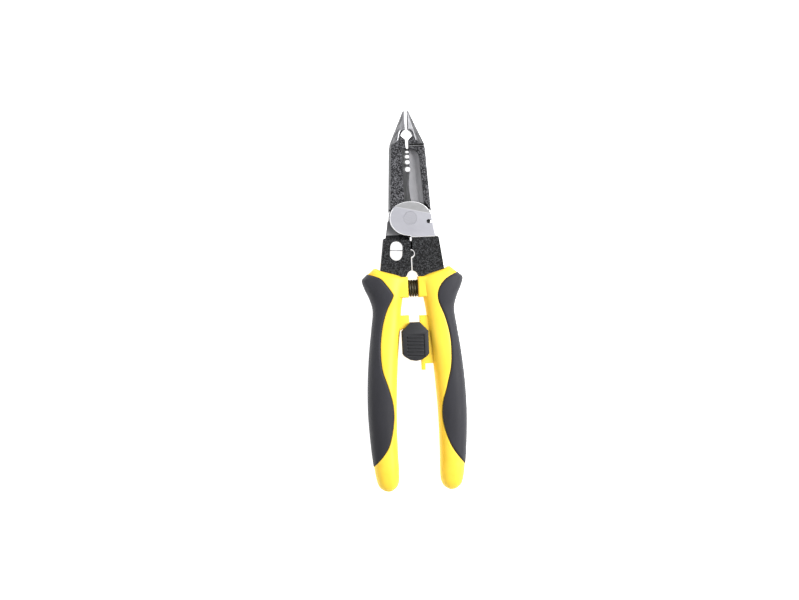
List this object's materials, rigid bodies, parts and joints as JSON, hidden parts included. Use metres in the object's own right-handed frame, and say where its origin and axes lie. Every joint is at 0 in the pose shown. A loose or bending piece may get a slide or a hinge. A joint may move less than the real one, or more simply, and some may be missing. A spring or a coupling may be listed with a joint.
{
  "type": "wire stripper",
  "caption": "Long-nose wire stripper with lapped jaws on a rivet, strip holes, a crimp hole, a cable slot, sprung two-tone handles and a slide lock.",
  "frame": {"origin": "centre of the pivot on the rear boss face", "axes": "+Y along the tool from the handles to the nose, +X to the right seen from the front, +Z from the rear boss face to the front boss face, along the pivot"},
  "size_m": [0.0608, 0.2277, 0.0204],
  "materials": {
    "forging": "black phosphate over a grainy drop forging, with ground nose, blade and boss faces",
    "ground_steel": "ground, with fine grinding marks",
    "handle_plastic": "satin moulded nylon",
    "grip_rubber": "matte soft overmould",
    "spring_steel": "black spring wire",
    "lock_plastic": "matte moulded plastic"
  },
  "bodies": {
    "right_side": {"left_jaw_forging": "forging", "pivot_rivet": "ground_steel", "right_handle": "handle_plastic", "right_grip": "grip_rubber", "return_spring": "spring_steel"},
    "left_side": {"right_jaw_forging": "forging", "splitter_blade": "ground_steel", "left_handle": "handle_plastic", "left_grip": "grip_rubber"},
    "lock": {"lock_front_plate": "lock_plastic", "lock_rear_plate": "lock_plastic", "lock_catch": "lock_plastic", "lock_pins": "ground_steel"}
  },
  "joints": [
    {"name": "jaw_pivot", "type": "hinge", "parent": "right_side", "child": "left_side", "pos_m": [0, 0, 0.0063], "axis": [0, 0, -1], "range_deg": [-1.1, 20], "stiffness_Nm_per_rad": 2, "springref_deg": 21.77, "deforming": ["return_spring"]},
    {"name": "lock_slide", "type": "slide", "parent": "right_side", "child": "lock", "axis": [0, 1, 0], "range_m": [-0.0054, 0]}
  ]
}
